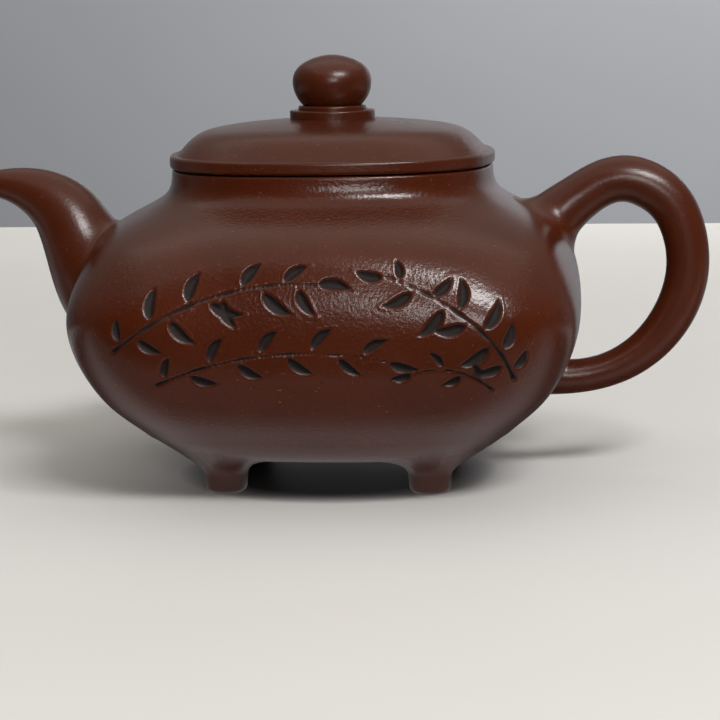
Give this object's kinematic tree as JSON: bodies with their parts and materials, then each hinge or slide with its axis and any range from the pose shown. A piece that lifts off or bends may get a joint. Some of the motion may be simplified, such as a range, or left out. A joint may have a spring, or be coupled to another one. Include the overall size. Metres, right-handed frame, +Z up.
{
  "type": "yixing clay teapot",
  "caption": "Squarish unglazed clay teapot on short corner feet, with a curved spout, an ear handle and a low domed lid with a ball knob that lifts off.",
  "frame": {"origin": "on the table plane, on the upright axis of the body and lid, midway between the four feet", "axes": "+Z up, +X towards the handle, -X towards the spout, -Y towards the decorated front"},
  "size_m": [0.1477, 0.1, 0.0853],
  "materials": {
    "clay": "unglazed stoneware, burnished satin"
  },
  "bodies": {
    "pot": {"base_plate": "clay", "body_wall": "clay", "shoulder_plate": "clay", "neck_collar": "clay", "foot_front_left": "clay", "foot_front_right": "clay", "foot_back_left": "clay", "foot_back_right": "clay", "spout": "clay", "strainer_dome": "clay", "handle": "clay"},
    "lid": {"lid_plate": "clay", "lid_dome": "clay", "lid_flange": "clay", "knob_ring_lower": "clay", "knob_ring_upper": "clay", "knob_ball": "clay"}
  },
  "joints": [
    {"name": "lid_lift", "type": "slide", "parent": "pot", "child": "lid", "axis": [0, 0, 1], "range_m": [0, 0.06]}
  ]
}
